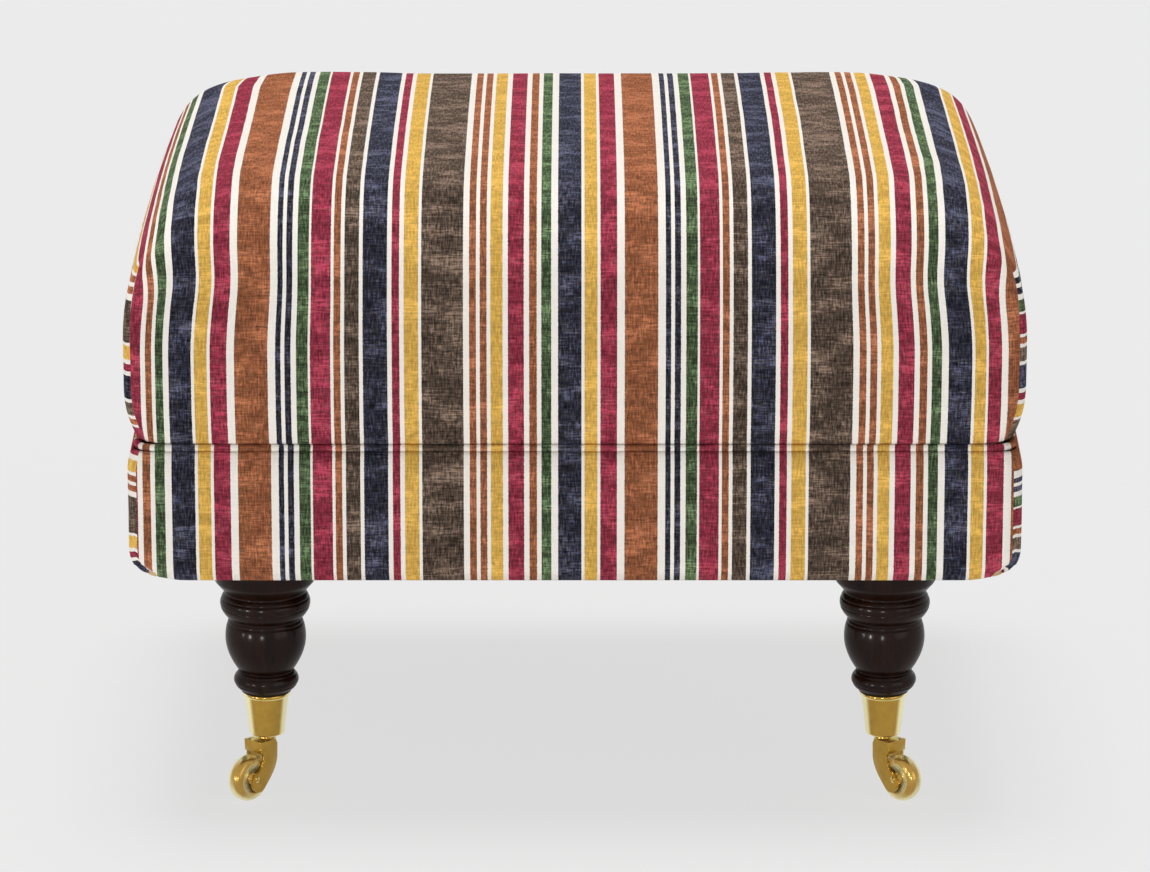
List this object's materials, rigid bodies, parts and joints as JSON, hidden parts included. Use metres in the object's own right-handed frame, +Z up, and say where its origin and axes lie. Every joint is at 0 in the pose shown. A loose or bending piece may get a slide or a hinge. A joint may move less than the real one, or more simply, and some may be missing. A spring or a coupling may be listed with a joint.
{
  "type": "upholstered footstool on castors",
  "caption": "Rectangular footstool with a deep rounded striped cushion over a piped fabric border, on turned dark wood legs with swivelling brass castors.",
  "frame": {"origin": "on the floor under the middle of the stool", "axes": "+X to the stool's right along its long side, +Y from the front to the back, +Z up"},
  "size_m": [0.6262, 0.482, 0.4497],
  "materials": {
    "striped_cloth": "striped slubby linen weave",
    "beech": "planed, unfinished",
    "dark_wood": "espresso stain under a gloss lacquer",
    "brass": "polished",
    "steel": "zinc plated",
    "webbing": "woven elastic",
    "platform_cloth": "plain woven hessian",
    "foam": "open cell upholstery foam",
    "wadding": "bonded polyester fibre",
    "card": "pressed card",
    "dust_cloth": "thin non-woven cloth"
  },
  "bodies": {
    "stool": {"front_rail": "beech", "back_rail": "beech", "left_rail": "beech", "right_rail": "beech", "rail_dowels": "beech", "corner_block_front_left": "beech", "corner_block_front_right": "beech", "corner_block_back_left": "beech", "corner_block_back_right": "beech", "corner_block_screws": "steel", "long_webbing": "webbing", "cross_webbing": "webbing", "platform_cloth": "platform_cloth", "foam_core": "foam", "fibre_wrap": "wadding", "cushion_cover": "striped_cloth", "piping": "striped_cloth", "tack_strip": "card", "border_wadding": "wadding", "border_front": "striped_cloth", "border_back": "striped_cloth", "border_left": "striped_cloth", "border_right": "striped_cloth", "dust_cover": "dust_cloth", "leg_front_left": "dark_wood", "leg_front_right": "dark_wood", "leg_back_left": "dark_wood", "leg_back_right": "dark_wood", "leg_bolts": "steel", "leg_nuts": "steel", "cup_front_left": "brass", "cup_front_right": "brass", "cup_back_left": "brass", "cup_back_right": "brass", "cup_screws": "brass"},
    "castor_front_left": {"fork_front_left": "brass", "swivel_pin_front_left": "brass", "washer_front_left": "steel", "axle_front_left": "brass"},
    "wheel_front_left": {"wheel_front_left": "brass"},
    "castor_front_right": {"fork_front_right": "brass", "swivel_pin_front_right": "brass", "washer_front_right": "steel", "axle_front_right": "brass"},
    "wheel_front_right": {"wheel_front_right": "brass"},
    "castor_back_left": {"fork_back_left": "brass", "swivel_pin_back_left": "brass", "washer_back_left": "steel", "axle_back_left": "brass"},
    "wheel_back_left": {"wheel_back_left": "brass"},
    "castor_back_right": {"fork_back_right": "brass", "swivel_pin_back_right": "brass", "washer_back_right": "steel", "axle_back_right": "brass"},
    "wheel_back_right": {"wheel_back_right": "brass"}
  },
  "joints": [
    {"name": "swivel_front_left", "type": "hinge", "parent": "stool", "child": "castor_front_left", "pos_m": [-0.2177, -0.1825, 0.0451], "axis": [0, 0, 1], "continuous": true},
    {"name": "roll_front_left", "type": "hinge", "parent": "castor_front_left", "child": "wheel_front_left", "pos_m": [-0.23041, -0.19662, 0.0165], "axis": [-0.7431, 0.6691, 0], "continuous": true},
    {"name": "swivel_front_right", "type": "hinge", "parent": "stool", "child": "castor_front_right", "pos_m": [0.2177, -0.1825, 0.0451], "axis": [0, 0, 1], "continuous": true},
    {"name": "roll_front_right", "type": "hinge", "parent": "castor_front_right", "child": "wheel_front_right", "pos_m": [0.23041, -0.19662, 0.0165], "axis": [-0.7431, -0.6691, 0], "continuous": true},
    {"name": "swivel_back_left", "type": "hinge", "parent": "stool", "child": "castor_back_left", "pos_m": [-0.2177, 0.1825, 0.0451], "axis": [0, 0, 1], "continuous": true},
    {"name": "roll_back_left", "type": "hinge", "parent": "castor_back_left", "child": "wheel_back_left", "pos_m": [-0.23041, 0.19662, 0.0165], "axis": [0.7431, 0.6691, 0], "continuous": true},
    {"name": "swivel_back_right", "type": "hinge", "parent": "stool", "child": "castor_back_right", "pos_m": [0.2177, 0.1825, 0.0451], "axis": [0, 0, 1], "continuous": true},
    {"name": "roll_back_right", "type": "hinge", "parent": "castor_back_right", "child": "wheel_back_right", "pos_m": [0.23041, 0.19662, 0.0165], "axis": [0.7431, -0.6691, 0], "continuous": true}
  ]
}
